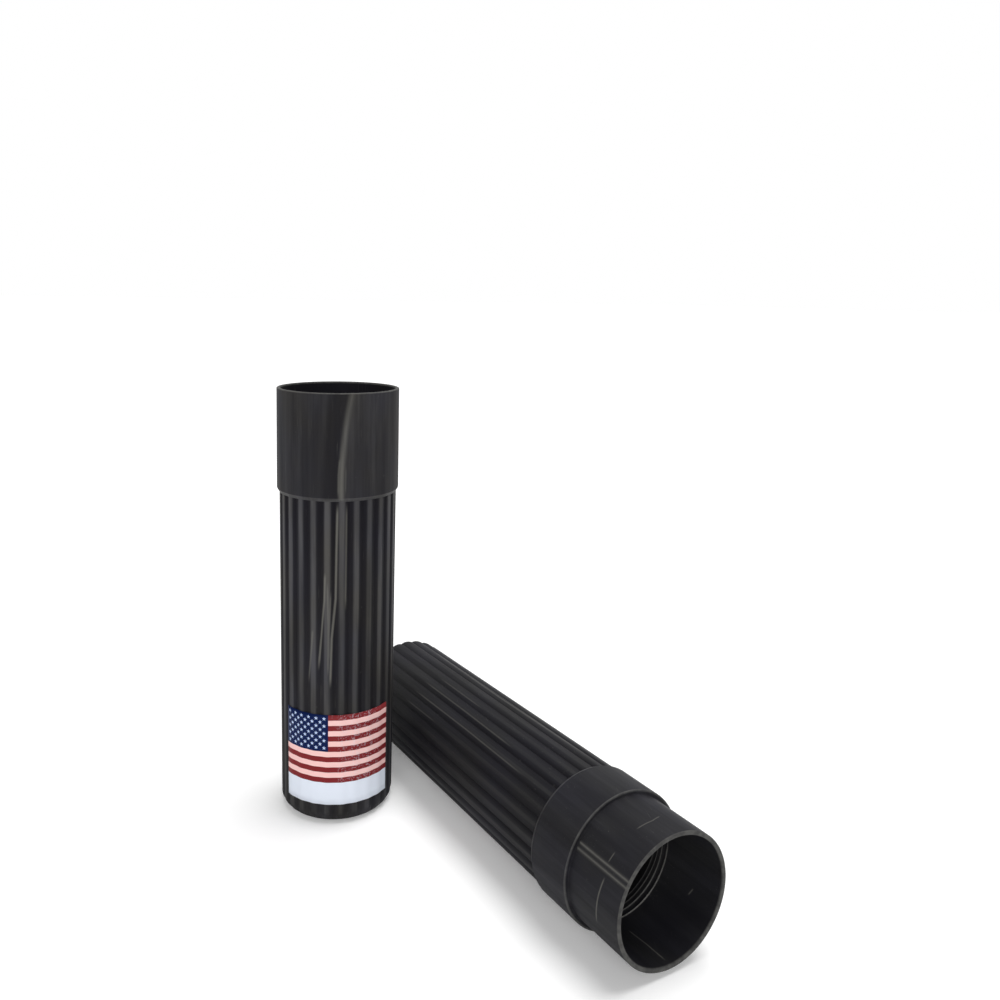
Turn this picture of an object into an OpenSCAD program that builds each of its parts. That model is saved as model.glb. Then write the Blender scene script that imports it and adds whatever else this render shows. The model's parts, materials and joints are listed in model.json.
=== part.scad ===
// Toothbrush holder: a ribbed travel tube in two moulded halves. The lower half
// stands on its closed end with its collar up. The cap half lies beside it, its
// neck open towards -Y. Millimetres, +Z up, origin at the centre of the foot.

/* [Ribbed tubes] */
// Number of ribs round each half
rib_count = 26; // [20:1:32]
// Depth of the notch between two ribs
rib_depth = 0.4; // [0.25:0.05:0.6]
// Radius over the rib crests at the closed end
crest_r_end = 13.64; // [13.2:0.01:13.8]
// Radius that rounds each closed end
end_round = 2.9; // [2:0.1:4]
// Draft of the ribs and of the inside, in degrees
draft = 0.24; // [0.1:0.02:0.3]
// Wall of the ribbed tubes, measured in from the rib crests
tube_wall = 1.7; // [1.4:0.05:1.9]
// Thickness of the closed ends
end_wall = 1.3; // [1:0.1:2]
// Chamfer round the floor of the inside
floor_chamfer = 1; // [0.5:0.1:1.5]

/* [Lengths] */
// Whole height of the lower half
base_len = 103; // [90:1:120]
// Length of the cap's ribbed tube, from the closed end to the collar
cap_tube_len = 83.2; // [70:0.1:100]
// Length of the cap's collar, with its sloping shoulder
cap_collar_len = 11.5; // [8:0.1:14]

/* [Collars] */
// How far both collars stand out past the rib crests of the closed ends
collar_step = 0.86; // [0.8:0.01:1.5]
// Length of the slope from the rib crests out to the collar
shoulder_len = 0.9; // [0.5:0.1:1.5]
// Chamfer on the edges of both mouths and of the cap's collar
lip = 0.25; // [0.1:0.05:0.3]

/* [Push fit] */
// How far the cap's neck is set back from its collar
neck_step = 1; // [0.8:0.05:1.2]
// Length of the neck past the cap's collar
neck_len = 14.2; // [10:0.1:18]
// Wall of the neck
neck_wall = 0.9; // [0.8:0.05:1]
// How far the neck's smooth bore runs on into the cap's collar
bore_past_neck = 1.1; // [0:0.1:3]
// Length of the slope that ends the smooth bore
ledge_len = 1; // [0.5:0.1:1.5]
// Radial clearance of the neck in the lower half's socket
fit_gap = 0.1; // [0.05:0.01:0.1]
// Depth of the socket past the end of a neck that is pushed home
socket_spare = 8.3; // [4:0.1:12]
// How far the lower half's collar reaches down past its socket, with the sloping shoulder
collar_cover = 2.2; // [2:0.1:4]

/* [Label] */
// Width of the label, measured round the tube
label_w = 27.6; // [20:0.1:34]
// Height of the label
label_h = 22.3; // [15:0.1:40]
// Height of the label's lower edge above the foot
label_z = 5.05; // [4:0.05:20]
// Thickness of the label
label_t = 0.15; // [0.1:0.01:0.3]
// Gap that the adhesive fills between the rib crests and the label
label_gap = 0.03; // [0.02:0.01:0.1]
// Direction that the label faces, in degrees from +X
label_turn = -113; // [-180:1:180]

/* [Layout] */
// Gap between the cap's ribs and the standing collar when the cap is lifted past it
pass_gap = 1.65; // [0.5:0.05:10]
// How far the cap's closed end lies behind the lower half's axis
cap_back = 22.4; // [0:0.1:60]
// Angle of the first rib of the lower half, in degrees from +X
base_rib_turn = 1.5; // [0:0.1:13.8]
// Angle of the first rib of the cap, in degrees from +X
cap_rib_turn = 6.6; // [0:0.1:13.8]

/* [Hidden] */
$fn = 96;
// What cuts run past the faces that they open
overrun = lip;

// Ribs. Each is a lobe of a circle, cut off a little where it would pass the crest radius.
rib_pitch = 360 / rib_count;
half_pitch = rib_pitch / 2;
notch_r = crest_r_end - rib_depth;
chord_sq = pow(notch_r, 2) + pow(crest_r_end, 2) - 2 * notch_r * crest_r_end * cos(half_pitch);
rib_r = chord_sq / (2 * (crest_r_end - notch_r * cos(half_pitch)));
crest_cut_share = 0.05;
lobe_r = crest_r_end + crest_cut_share * rib_depth - rib_r;
notch_half_w = crest_r_end * sin(half_pitch);

// Collars, neck and socket
collar_r = crest_r_end + collar_step;
neck_r = collar_r - neck_step;
neck_bore_r = neck_r - neck_wall;
socket_r = neck_r + fit_gap;

// Heights along each half from its closed end
socket_floor = base_len - neck_len - socket_spare;
base_tube_len = socket_floor - collar_cover;
cap_collar_top = cap_tube_len + cap_collar_len;
cap_len = cap_collar_top + neck_len;
bore_floor = cap_collar_top - bore_past_neck;

// How the cap lies: on the rounding of its closed end and on its collar's edge
collar_edge_z = cap_tube_len + shoulder_len;
low_share = max([for (i = [0 : rib_count - 1]) -sin(cap_rib_turn + i * rib_pitch)]);
low_ring_r = lobe_r * low_share + rib_r - end_round;
lie_along = collar_edge_z - end_round;
lie_rise = collar_r - low_ring_r;
lie_reach = sqrt(pow(lie_along, 2) + pow(lie_rise, 2));
cap_tilt = atan2(lie_rise, lie_along) - asin(end_round / lie_reach);
cap_axis_z = low_ring_r * cos(cap_tilt) + end_round * (1 - sin(cap_tilt));
cap_x = collar_r + crest_r(cap_tube_len) + pass_gap;

label_angle = label_w / crest_r(label_z + label_h / 2) * 180 / PI;

// Radius over the rib crests at a height above the closed end
function crest_r(z) = crest_r_end + (z - end_round) * tan(draft);

// Radius of the inside at a height above the closed end
function cavity_r(z) = crest_r(z) - tube_wall;

// The space between two ribs: what is left outside two neighbouring lobes
module notch_section() {
    difference() {
        translate([notch_r - rib_depth, -notch_half_w])
            square([2 * rib_depth + overrun, 2 * notch_half_w]);
        for (side = [-1, 1])
            rotate(side * half_pitch)
                translate([lobe_r, 0])
                    circle(rib_r);
    }
}

// A filled tube with a rounded closed end on z = 0, notched between its ribs
module reeded_tube(length, turn) {
    difference() {
        rotate_extrude() {
            translate([crest_r_end - end_round, end_round])
                circle(end_round);
            polygon([
                [0, 0],
                [crest_r_end - end_round, 0],
                [crest_r_end - end_round, end_round],
                [crest_r_end, end_round],
                [crest_r(length), length],
                [0, length]
            ]);
        }
        for (i = [0 : rib_count - 1])
            rotate([0, 0, turn + half_pitch + i * rib_pitch])
                translate([0, 0, end_round])
                    rotate([0, draft, 0])
                        translate([0, 0, -end_round - overrun])
                            linear_extrude(length + 2 * overrun)
                                notch_section();
    }
}

// The collar of a half: a shoulder that slopes out from the crests, then a plain band
module collar(bottom, top) {
    rotate_extrude()
        polygon([
            [0, bottom],
            [crest_r(bottom), bottom],
            [collar_r, bottom + shoulder_len],
            [collar_r, top - lip],
            [collar_r - lip, top],
            [0, top]
        ]);
}

// The inside of the lower half: the tapering tube, then the socket for the neck
module base_inside() {
    taper_top = socket_floor - (socket_r - cavity_r(socket_floor));
    rotate_extrude()
        polygon([
            [0, end_wall],
            [cavity_r(end_wall) - floor_chamfer, end_wall],
            [cavity_r(end_wall), end_wall + floor_chamfer],
            [cavity_r(socket_floor), taper_top],
            [socket_r, socket_floor],
            [socket_r, base_len - lip],
            [socket_r + lip + overrun, base_len + overrun],
            [0, base_len + overrun]
        ]);
}

// The inside of the cap: the tapering tube, the ledge, then the neck's smooth bore
module cap_inside() {
    rotate_extrude()
        polygon([
            [0, end_wall],
            [cavity_r(end_wall) - floor_chamfer, end_wall],
            [cavity_r(end_wall), end_wall + floor_chamfer],
            [cavity_r(bore_floor), bore_floor - ledge_len],
            [neck_bore_r, bore_floor],
            [neck_bore_r, cap_len - lip],
            [neck_bore_r + lip + overrun, cap_len + overrun],
            [0, cap_len + overrun]
        ]);
}

// The neck that pushes into the lower half's socket
module neck() {
    rotate_extrude()
        polygon([
            [0, cap_tube_len],
            [neck_r, cap_tube_len],
            [neck_r, cap_len - lip],
            [neck_r - lip, cap_len],
            [0, cap_len]
        ]);
}

// Puts a half that stands on its closed end down on its side, mouth towards -Y
module lay_down() {
    translate([cap_x, cap_back, cap_axis_z])
        rotate([90 - cap_tilt, 0, 0])
            children();
}

module base_tube() {
    color("#303132")
        difference() {
            union() {
                reeded_tube(base_tube_len + shoulder_len, base_rib_turn);
                collar(base_tube_len, base_len);
            }
            base_inside();
        }
}

module cap_tube() {
    color("#2c2d2e")
        lay_down()
            difference() {
                union() {
                    reeded_tube(cap_tube_len + shoulder_len, cap_rib_turn);
                    collar(cap_tube_len, cap_collar_top);
                    neck();
                }
                cap_inside();
            }
}

// The printed label lies over the rib crests and follows their draft
module flag_label() {
    inner_low = crest_r(label_z) + label_gap;
    inner_high = crest_r(label_z + label_h) + label_gap;
    color("#dfe5ee")
        rotate([0, 0, label_turn - label_angle / 2])
            rotate_extrude(angle = label_angle)
                polygon([
                    [inner_low, label_z],
                    [inner_low + label_t, label_z],
                    [inner_high + label_t, label_z + label_h],
                    [inner_high, label_z + label_h]
                ]);
}

base_tube();
cap_tube();
flag_label();
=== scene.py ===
"""Looks of the toothbrush holder: two ribbed black plastic halves, and the printed label on one of them.

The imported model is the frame. Each piece is modelled in millimetres in the frame of its own half, then put
in place in metres, so that its object sits at the origin and its place is in its mesh. Lengths are in
millimetres where nothing else is said.
"""

import functools
import json
import logging
import math
from dataclasses import dataclass
from enum import Enum
from typing import Any

import bmesh
import bpy
from mathutils import Matrix, Vector

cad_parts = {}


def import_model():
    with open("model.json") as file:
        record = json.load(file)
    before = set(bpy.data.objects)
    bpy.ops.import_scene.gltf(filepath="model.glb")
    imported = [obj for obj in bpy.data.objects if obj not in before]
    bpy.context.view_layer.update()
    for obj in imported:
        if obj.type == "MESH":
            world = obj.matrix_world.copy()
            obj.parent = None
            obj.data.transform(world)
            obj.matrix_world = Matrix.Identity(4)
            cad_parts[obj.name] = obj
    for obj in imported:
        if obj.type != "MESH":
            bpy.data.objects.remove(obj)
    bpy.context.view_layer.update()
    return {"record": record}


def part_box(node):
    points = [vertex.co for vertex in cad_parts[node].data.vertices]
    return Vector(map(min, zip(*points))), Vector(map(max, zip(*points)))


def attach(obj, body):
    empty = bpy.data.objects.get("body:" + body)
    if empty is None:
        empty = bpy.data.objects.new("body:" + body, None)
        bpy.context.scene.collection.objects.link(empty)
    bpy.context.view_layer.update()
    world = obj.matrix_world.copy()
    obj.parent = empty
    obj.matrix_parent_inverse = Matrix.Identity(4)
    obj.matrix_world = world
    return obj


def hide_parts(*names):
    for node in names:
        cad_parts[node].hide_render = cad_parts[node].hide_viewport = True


LOG = logging.getLogger("toothbrush_holder")
MM = 0.001
MERGE_MM = 0.001
SHARP_EDGE = math.radians(38)

# Names of the attributes that the meshes carry and the finishes read
LOCAL = "local_mm"
UNROLLED = "unrolled_mm"
WEAR = "wear"
RIM = "rim"

# How far the inside lies from the outside in unrolled coordinates, so that a mark stays on its own side
INSIDE_OFFSET_MM = 20.0

Point = tuple[float, float, float]
Pair = tuple[float, float]
Colour = tuple[float, float, float, float]

# What an input takes: a Value to link to it, or a plain value to set on it
Feed = Any
Feeds = dict[str | int, Feed]

WHITE: Colour = (1.0, 1.0, 1.0, 1.0)


class Zone(Enum):
    """The stretches of a half's section, which differ in relief and wear."""

    FOOT = 0
    RIBS = 1
    SHOULDER = 2
    COLLAR = 3
    EDGE = 4
    NECK = 5
    MOUTH = 6
    INSIDE = 7

    def wear(self, plain: float, inside: float) -> float:
        """Gives how pale the stretch is, from the wear of a plain face and that of the inside; its paler
        shoulder and edge are partly painted highlight, and the inside's lower value partly painted shade.
        """
        return {Zone.SHOULDER: 0.75, Zone.EDGE: 0.9, Zone.INSIDE: inside}.get(self, plain)

    @property
    def rim(self) -> float:
        """How far the stretch is paled, as on the edges that take the knocks; partly rubbing and partly
        painted highlight.
        """
        return {Zone.SHOULDER: 0.2, Zone.EDGE: 0.5, Zone.MOUTH: 0.72}.get(self, 0.0)


@dataclass(frozen=True)
class Corner:
    """A corner of a half's section.

    Attributes:
        radius: distance from the half's axis.
        height: height above the half's closed end.
        zone: what the section runs along from this corner on.
        rounding: radius of the fillet at the corner.
        steps: number of chords in the fillet.
    """

    radius: float
    height: float
    zone: Zone
    rounding: float = 0.0
    steps: int = 4


@dataclass(frozen=True)
class Mark:
    """A fine mark on the plastic, along a path over the unrolled half; some are painted highlights.

    Attributes:
        path: angle in degrees and height of each point that it passes.
        width: full width.
        strength: how pale it is, from 0 to 1.
        inside: whether it is on the inside of the half.
    """

    path: tuple[Pair, ...]
    width: float
    strength: float
    inside: bool = False


@dataclass(frozen=True)
class Clouds:
    """A value that wanders over the surface in soft clouds.

    Attributes:
        size: size of the clouds across the half.
        stretch: how many times longer they are along it.
        low: the value between them.
        high: the value in them.
    """

    size: float
    stretch: float
    low: float
    high: float


@dataclass(frozen=True)
class Ribbing:
    """The ribs round a half: lobes of a circle, with a narrow notch between each two.

    Attributes:
        count: number of ribs.
        depth: depth of a notch.
        crest_radius: radius over the crests at the closed end.
        end_round: radius that rounds the closed end.
        draft: angle at which the tube widens away from the closed end.
        cut_share: share of the depth that is cut off a lobe's top.
        columns: columns of the mesh in each rib.
        fade_from: tilt of the rounded end's surface at which the notches start to fade.
        fade_to: tilt at which they are gone.
        rubbed_to: share of the depth down to which a rib is paled.
        rubbed: how far the crests are paled, from 0 to 1, partly as rubbing and partly as painted highlight,
            with painted shade left in the notches.
        crest_highlight: how strong the painted highlight line along the middle of a crest is, from 0 to 1.
        crest_highlight_to: share of the depth down to which it reaches.
        crest_paling_from: height where the crests' paling starts, as a share of the closed end's rounding.
        crest_paling_to: height from which it is full, as a share of that rounding.
    """

    count: int = 26
    depth: float = 0.4
    crest_radius: float = 13.64
    end_round: float = 2.9
    draft: float = math.radians(0.24)
    cut_share: float = 0.05
    columns: int = 12
    fade_from: float = math.radians(45)
    fade_to: float = math.radians(80)
    rubbed_to: float = 0.33
    rubbed: float = 1.0
    crest_highlight: float = 0.15
    crest_highlight_to: float = 0.06
    crest_paling_from: float = 0.5
    crest_paling_to: float = 2.0

    @property
    def pitch(self) -> float:
        """The angle from one rib to the next."""
        return math.tau / self.count

    @property
    def lobe_radius(self) -> float:
        """The radius of the circle that a rib is a lobe of."""
        root = self.crest_radius - self.depth
        cosine = math.cos(self.pitch / 2)
        chord = root**2 + self.crest_radius**2 - 2 * root * self.crest_radius * cosine
        return chord / (2 * (self.crest_radius - root * cosine))

    def crest_at(self, height: float) -> float:
        """Gives the radius over the crests at a height above the closed end, in mm."""
        return self.crest_radius + (height - self.end_round) * math.tan(self.draft)

    def sink_at(self, angle: float) -> float:
        """Gives how far the surface lies below the crests.

        Args:
            angle: angle from the first rib's crest.

        Returns:
            The depth in mm, from 0 on a crest to the full depth in a notch.
        """
        off = abs((angle + self.pitch / 2) % self.pitch - self.pitch / 2)
        lobe = self.lobe_radius
        centre = self.crest_radius + self.cut_share * self.depth - lobe
        reach = centre * math.cos(off) + math.sqrt(lobe**2 - (centre * math.sin(off)) ** 2)
        return max(0.0, self.crest_radius - reach)


def smooth_step(low: float, high: float, value: float) -> float:
    """Gives a number that rises smoothly from 0 to 1 as a value goes from low to high."""
    share = min(1.0, max(0.0, (value - low) / (high - low)))
    return share * share * (3 - 2 * share)


def rounded(corners: list[Corner]) -> list[Corner]:
    """Replaces each corner that has a rounding by the points of its fillet.

    Args:
        corners: the corners of an open outline, in order.

    Returns:
        The outline's points, none with a rounding.
    """
    points = [corners[0]]
    for before, here, after in zip(corners, corners[1:], corners[2:]):
        if not here.rounding:
            points.append(here)
            continue
        at = Vector((here.radius, here.height))
        back = (Vector((before.radius, before.height)) - at).normalized()
        ahead = (Vector((after.radius, after.height)) - at).normalized()
        half = back.angle(ahead) / 2
        centre = at + (back + ahead).normalized() * here.rounding / math.sin(half)
        first = at + back * here.rounding / math.tan(half) - centre
        last = at + ahead * here.rounding / math.tan(half) - centre
        for step in range(here.steps + 1):
            spoke = first.slerp(last, step / here.steps) * here.rounding
            zone = before.zone if step == 0 else here.zone
            points.append(Corner(centre.x + spoke.x, centre.y + spoke.y, zone))
    return [*points, corners[-1]]


def linked(name: str, data: bpy.types.ID) -> bpy.types.Object:
    """Makes an object of its data and links it to the scene.

    Args:
        name: the object's name.
        data: its mesh, camera or light.

    Returns:
        The object.
    """
    made = bpy.data.objects.new(name, data)
    bpy.context.scene.collection.objects.link(made)
    return made


def mesh_object(name: str, bm: bmesh.types.BMesh) -> bpy.types.Object:
    """Makes a smooth-shaded object of a bmesh, with its sharp edges marked, and frees the bmesh.

    Args:
        name: the object's name.
        bm: its shape, in metres, in the shared frame.

    Returns:
        The new object.
    """
    mesh = bpy.data.meshes.new(name)
    bm.to_mesh(mesh)
    bm.free()
    mesh.shade_smooth()
    mesh.set_sharp_from_angle(angle=SHARP_EDGE)
    return linked(name, mesh)


@dataclass(frozen=True, eq=False)
class Value:
    """A node's output. Its operators add Math nodes, so that a finish reads like its formula.

    Attributes:
        bench: the bench that it was made on.
        socket: the output.
    """

    bench: "Bench"
    socket: bpy.types.NodeSocket

    def reckon(self, operation: str, other: Feed) -> "Value":
        """Adds a Math node with this value first and another second."""
        return self.bench.maths(operation, self, other)

    def reckon_last(self, operation: str, other: Feed) -> "Value":
        """Adds a Math node with another value first and this one second."""
        return self.bench.maths(operation, other, self)

    __add__ = functools.partialmethod(reckon, "ADD")
    __sub__ = functools.partialmethod(reckon, "SUBTRACT")
    __rsub__ = functools.partialmethod(reckon_last, "SUBTRACT")
    __mul__ = functools.partialmethod(reckon, "MULTIPLY")
    __truediv__ = functools.partialmethod(reckon, "DIVIDE")
    __rtruediv__ = functools.partialmethod(reckon_last, "DIVIDE")
    __lt__ = functools.partialmethod(reckon, "LESS_THAN")
    __gt__ = functools.partialmethod(reckon, "GREATER_THAN")

    def between(self, low: float, high: float) -> "Value":
        """Turns a mask into a value that goes smoothly from low where it is 0 to high where it is 1."""
        return self.bench.ramp(self, 0.0, 1.0, low, high)


class Bench:
    """Adds nodes to one node tree and joins them.

    Attributes:
        tree: the node tree.
    """

    MIX_FACTOR, MIX_A, MIX_B, MIX_RESULT = 0, 6, 7, 2

    def __init__(self, tree: bpy.types.NodeTree) -> None:
        """Starts work on a tree."""
        self.tree = tree

    def node(self, kind: str, feeds: Feeds | None = None, **settings: Any) -> bpy.types.Node:
        """Adds a node.

        Args:
            kind: the node's type.
            feeds: what its inputs take, by their names or places.
            **settings: the node's own settings.

        Returns:
            The node.
        """
        made = self.tree.nodes.new(kind)
        for name, setting in settings.items():
            setattr(made, name, setting)
        for key, fed in (feeds or {}).items():
            if isinstance(fed, Value):
                self.tree.links.new(fed.socket, made.inputs[key])
            else:
                made.inputs[key].default_value = fed
        return made

    def value(self, kind: str, output: str | int, *feeds: Feeds, **settings: Any) -> Value:
        """Adds a node and gives one of its outputs, by its name or place."""
        return Value(self, self.node(kind, *feeds, **settings).outputs[output])

    def values(self, kind: str, *feeds: Feeds) -> dict[str, Value]:
        """Adds a node and gives all its outputs, by name."""
        return {socket.name: Value(self, socket) for socket in self.node(kind, *feeds).outputs}

    def maths(self, operation: str, *terms: Feed) -> Value:
        """Adds a Math node and gives its result."""
        return self.value("ShaderNodeMath", 0, dict(enumerate(terms)), operation=operation)

    def vectors(self, operation: str, *terms: Feed, output: str = "Vector") -> Value:
        """Adds a Vector Math node and gives its result, which is a "Vector" or a "Value"."""
        return self.value("ShaderNodeVectorMath", output, dict(enumerate(terms)), operation=operation)

    def ramp(self, value: Feed, low: Feed, high: Feed, floor: Feed = 0.0, top: Feed = 1.0) -> Value:
        """Maps a value smoothly from one range to another.

        Args:
            value: the value.
            low: where the rise starts.
            high: where it ends.
            floor: the result at low.
            top: the result at high.

        Returns:
            The result, which stays between floor and top.
        """
        feeds = {"Value": value, "From Min": low, "From Max": high, "To Min": floor, "To Max": top}
        return self.value("ShaderNodeMapRange", "Result", feeds, interpolation_type="SMOOTHSTEP")

    def mix(self, share: Feed, low: Feed, high: Feed) -> Value:
        """Mixes two colours by the share of the second."""
        feeds = {self.MIX_FACTOR: share, self.MIX_A: low, self.MIX_B: high}
        return self.value("ShaderNodeMix", self.MIX_RESULT, feeds, data_type="RGBA")

    def read(self, attribute: str, output: str = "Fac") -> Value:
        """Reads an attribute of the piece: "Fac" gives a number, and "Vector" a vector."""
        return self.value("ShaderNodeAttribute", output, attribute_name=attribute)

    def axes(self, vector: Value) -> dict[str, Value]:
        """Splits a vector into its X, Y and Z."""
        return self.values("ShaderNodeSeparateXYZ", {"Vector": vector})

    def noise(self, place: Value, scale: float, detail: float) -> Value:
        """Adds noise of a scale and a detail."""
        return self.value("ShaderNodeTexNoise", "Fac", {"Vector": place, "Scale": scale, "Detail": detail})

    def stretched(self, place: Value, across: Value, along: Value) -> Value:
        """Scales a place by one value across the half and by another along it."""
        scale = self.value("ShaderNodeCombineXYZ", 0, {"X": across, "Y": across, "Z": along})
        return self.vectors("MULTIPLY", place, scale)


class Effect(Bench):
    """A mask that several finishes share, built once as a node group.

    Attributes:
        given: the group's inputs by name, of which some are VECTORS and some NUMBERS.
    """

    VECTORS: tuple[str, ...] = ("Place",)
    NUMBERS: tuple[str, ...] = ()

    def __init__(self, name: str) -> None:
        """Builds the group.

        Args:
            name: the group's name.
        """
        super().__init__(bpy.data.node_groups.new(name, "ShaderNodeTree"))
        for kind, titles in (("NodeSocketVector", self.VECTORS), ("NodeSocketFloat", self.NUMBERS)):
            for title in titles:
                self.tree.interface.new_socket(title, in_out="INPUT", socket_type=kind)
        self.tree.interface.new_socket("Mask", in_out="OUTPUT", socket_type="NodeSocketFloat")
        self.given = self.values("NodeGroupInput")
        self.node("NodeGroupOutput", {"Mask": self.mask()})

    def mask(self) -> Value:
        """Works the mask out from the group's inputs."""
        raise NotImplementedError


class LineMark(Effect):
    """One fine straight mark. Start Faint and End Faint are 1 where it fades out, and 0 where it goes on."""

    VECTORS = ("Place", "Start", "End")
    NUMBERS = ("Width", "Start Faint", "End Faint")
    FADE = 0.3
    REACH = 0.6

    def mask(self) -> Value:
        """Measures the way to the nearest point of the mark, and fades the mark along its length.

        Returns:
            The mask.
        """
        along = self.vectors("SUBTRACT", self.given["End"], self.given["Start"])
        gone = self.vectors("SUBTRACT", self.given["Place"], self.given["Start"])
        length_sq = self.vectors("DOT_PRODUCT", along, along, output="Value")
        dot = self.vectors("DOT_PRODUCT", gone, along, output="Value")
        share = self.value("ShaderNodeClamp", 0, {"Value": dot / length_sq})
        feeds = {"Vector": along, "Scale": share}
        nearest = self.value("ShaderNodeVectorMath", "Vector", feeds, operation="SCALE")
        off = self.vectors("DISTANCE", gone, nearest, output="Value")
        rise = self.ramp(share, 0.0, self.FADE, 1.0 - self.given["Start Faint"])
        fall = self.ramp(share, 1.0, 1.0 - self.FADE, 1.0 - self.given["End Faint"])
        return self.ramp(off, self.given["Width"] * self.REACH, 0.0) * (rise * fall)


class StreakField(Effect):
    """A field of short fine scratches that all run nearly one way, in patches."""

    VECTORS = ("Place", "Turn")
    NUMBERS = ("Length", "Width", "Amount")
    PATCH_NOISE = (0.17, 2.0)
    PATCH_EDGES = (0.4, 0.62)
    LIMITS = (0.86, 0.56)
    SOFTNESS = 0.05

    def mask(self) -> Value:
        """Cuts the scratches out of stretched noise, and the patches out of slow noise.

        Returns:
            The mask.
        """
        place = self.given["Place"]
        turned = self.value("ShaderNodeMapping", 0, {"Vector": place, "Rotation": self.given["Turn"]})
        drawn_out = self.stretched(turned, 1.0 / self.given["Width"], 1.0 / self.given["Length"])
        limit = self.given["Amount"].between(*self.LIMITS)
        lines = self.ramp(self.noise(drawn_out, 1.0, 1.0), limit, limit + self.SOFTNESS)
        return lines * self.ramp(self.noise(place, *self.PATCH_NOISE), *self.PATCH_EDGES)


class DustSpecks(Effect):
    """Fine pale specks, one to a cell, of which only a share shows."""

    NUMBERS = ("Spacing", "Size", "Amount")

    def mask(self) -> Value:
        """Draws a speck of its own size in each cell whose chance is within the amount.

        Returns:
            The mask.
        """
        scale = 1.0 / self.given["Spacing"]
        cells = self.values("ShaderNodeTexVoronoi", {"Vector": self.given["Place"], "Scale": scale})
        chance = self.values("ShaderNodeSeparateColor", {"Color": cells["Color"]})
        speck = self.ramp(cells["Distance"], self.given["Size"] * (chance["Green"] * scale), 0.0)
        return speck * (chance["Red"] < self.given["Amount"])


class SurfaceClouds(Effect):
    """The slow unevenness of a moulded or handled surface. Stretch lengthens its clouds along the half."""

    NUMBERS = ("Size", "Stretch")
    EDGES = (0.3, 0.7)
    DETAIL = 3.0

    def mask(self) -> Value:
        """Cuts the clouds out of stretched noise.

        Returns:
            The mask.
        """
        across = 1.0 / self.given["Size"]
        place = self.stretched(self.given["Place"], across, across / self.given["Stretch"])
        return self.ramp(self.noise(place, 1.0, self.DETAIL), *self.EDGES)


class Kit:
    """The shared effects, each built once."""

    def __init__(self) -> None:
        """Builds the four effects."""
        self.line = LineMark("line_mark")
        self.streaks = StreakField("streak_field")
        self.dust = DustSpecks("dust_specks")
        self.clouds = SurfaceClouds("surface_clouds")


class MaterialBench(Bench):
    """A bench for one material, with what its finish reads off the piece.

    Attributes:
        material: the material.
        kit: the shared effects, where the finish uses them.
    """

    def __init__(self, name: str, kit: Kit | None = None) -> None:
        """Starts a material with an empty node tree.

        Args:
            name: the material's name.
            kit: the shared effects, where the finish uses them.
        """
        self.material = bpy.data.materials.new(name)
        self.material.use_nodes = True
        self.material.node_tree.nodes.clear()
        super().__init__(self.material.node_tree)
        self.kit = kit

    @functools.cached_property
    def place(self) -> Value:
        """The place on the half, in mm."""
        return self.read(LOCAL, "Vector")

    @functools.cached_property
    def unrolled(self) -> Value:
        """The place on the unrolled half, in mm."""
        return self.read(UNROLLED, "Vector")

    def effect(self, effect: Effect, place: Value, feeds: Feeds) -> Value:
        """Places a shared effect and gives its mask."""
        return self.value("ShaderNodeGroup", "Mask", {"Place": place} | feeds, node_tree=effect.tree)

    def clouds(self, size: float, stretch: float) -> Value:
        """Gives the mask of clouds of a size, stretched along the half."""
        return self.effect(self.kit.clouds, self.place, {"Size": size, "Stretch": stretch})

    def clouded(self, clouds: Clouds) -> Value:
        """Gives a value that wanders in clouds."""
        return self.clouds(clouds.size, clouds.stretch).between(clouds.low, clouds.high)

    def streaks(self, length: float, width: float, amount: float, turn: Point) -> Value:
        """Gives the mask of fine scratches of a length and a width, turned against the half's axis."""
        feeds = {"Length": length, "Width": width, "Amount": amount, "Turn": turn}
        return self.effect(self.kit.streaks, self.place, feeds)

    def dust(self, spacing: float, size: float, amount: float) -> Value:
        """Gives the mask of specks of a spacing and a size, of which a share shows."""
        return self.effect(self.kit.dust, self.place, {"Spacing": spacing, "Size": size, "Amount": amount})

    def marks_and_highlights(self, marks_and_highlights: tuple[Mark, ...], half: "MouldedHalf") -> Feed:
        """Draws single marks and painted highlights.

        Args:
            marks_and_highlights: the marks and painted highlights.
            half: the half, which places them.

        Returns:
            The mask of all of them.
        """
        mask: Feed = 0.0
        for mark in marks_and_highlights:
            last = len(mark.path) - 2
            for index, ends in enumerate(zip(mark.path, mark.path[1:])):
                start, end = (half.unrolled_place(*point, mark.inside) for point in ends)
                feeds = {"Start": start, "End": end, "Width": mark.width}
                feeds |= {"Start Faint": float(index == 0), "End Faint": float(index == last)}
                line = self.effect(self.kit.line, self.unrolled, feeds) * mark.strength
                mask = self.maths("MAXIMUM", mask, line)
        return mask

    def bump(self, height: Value, strength: float, depth: float) -> Value:
        """Turns a height from 0 to 1 into normals, by a strength and a depth."""
        feeds = {"Height": height, "Strength": strength, "Distance": depth * MM}
        return self.value("ShaderNodeBump", "Normal", feeds)

    def finished(self, colour: Feed, rough: Feed, specular: float, more: Feeds) -> bpy.types.Material:
        """Closes the material.

        Args:
            colour: its colour.
            rough: its roughness.
            specular: its specular level.
            more: what further inputs of the shader take, by name.

        Returns:
            The material.
        """
        feeds = {"Base Color": colour, "Roughness": rough, "Specular IOR Level": specular}
        shader = self.value("ShaderNodeBsdfPrincipled", "BSDF", feeds | more)
        self.node("ShaderNodeOutputMaterial", {"Surface": shader})
        return self.material


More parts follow.
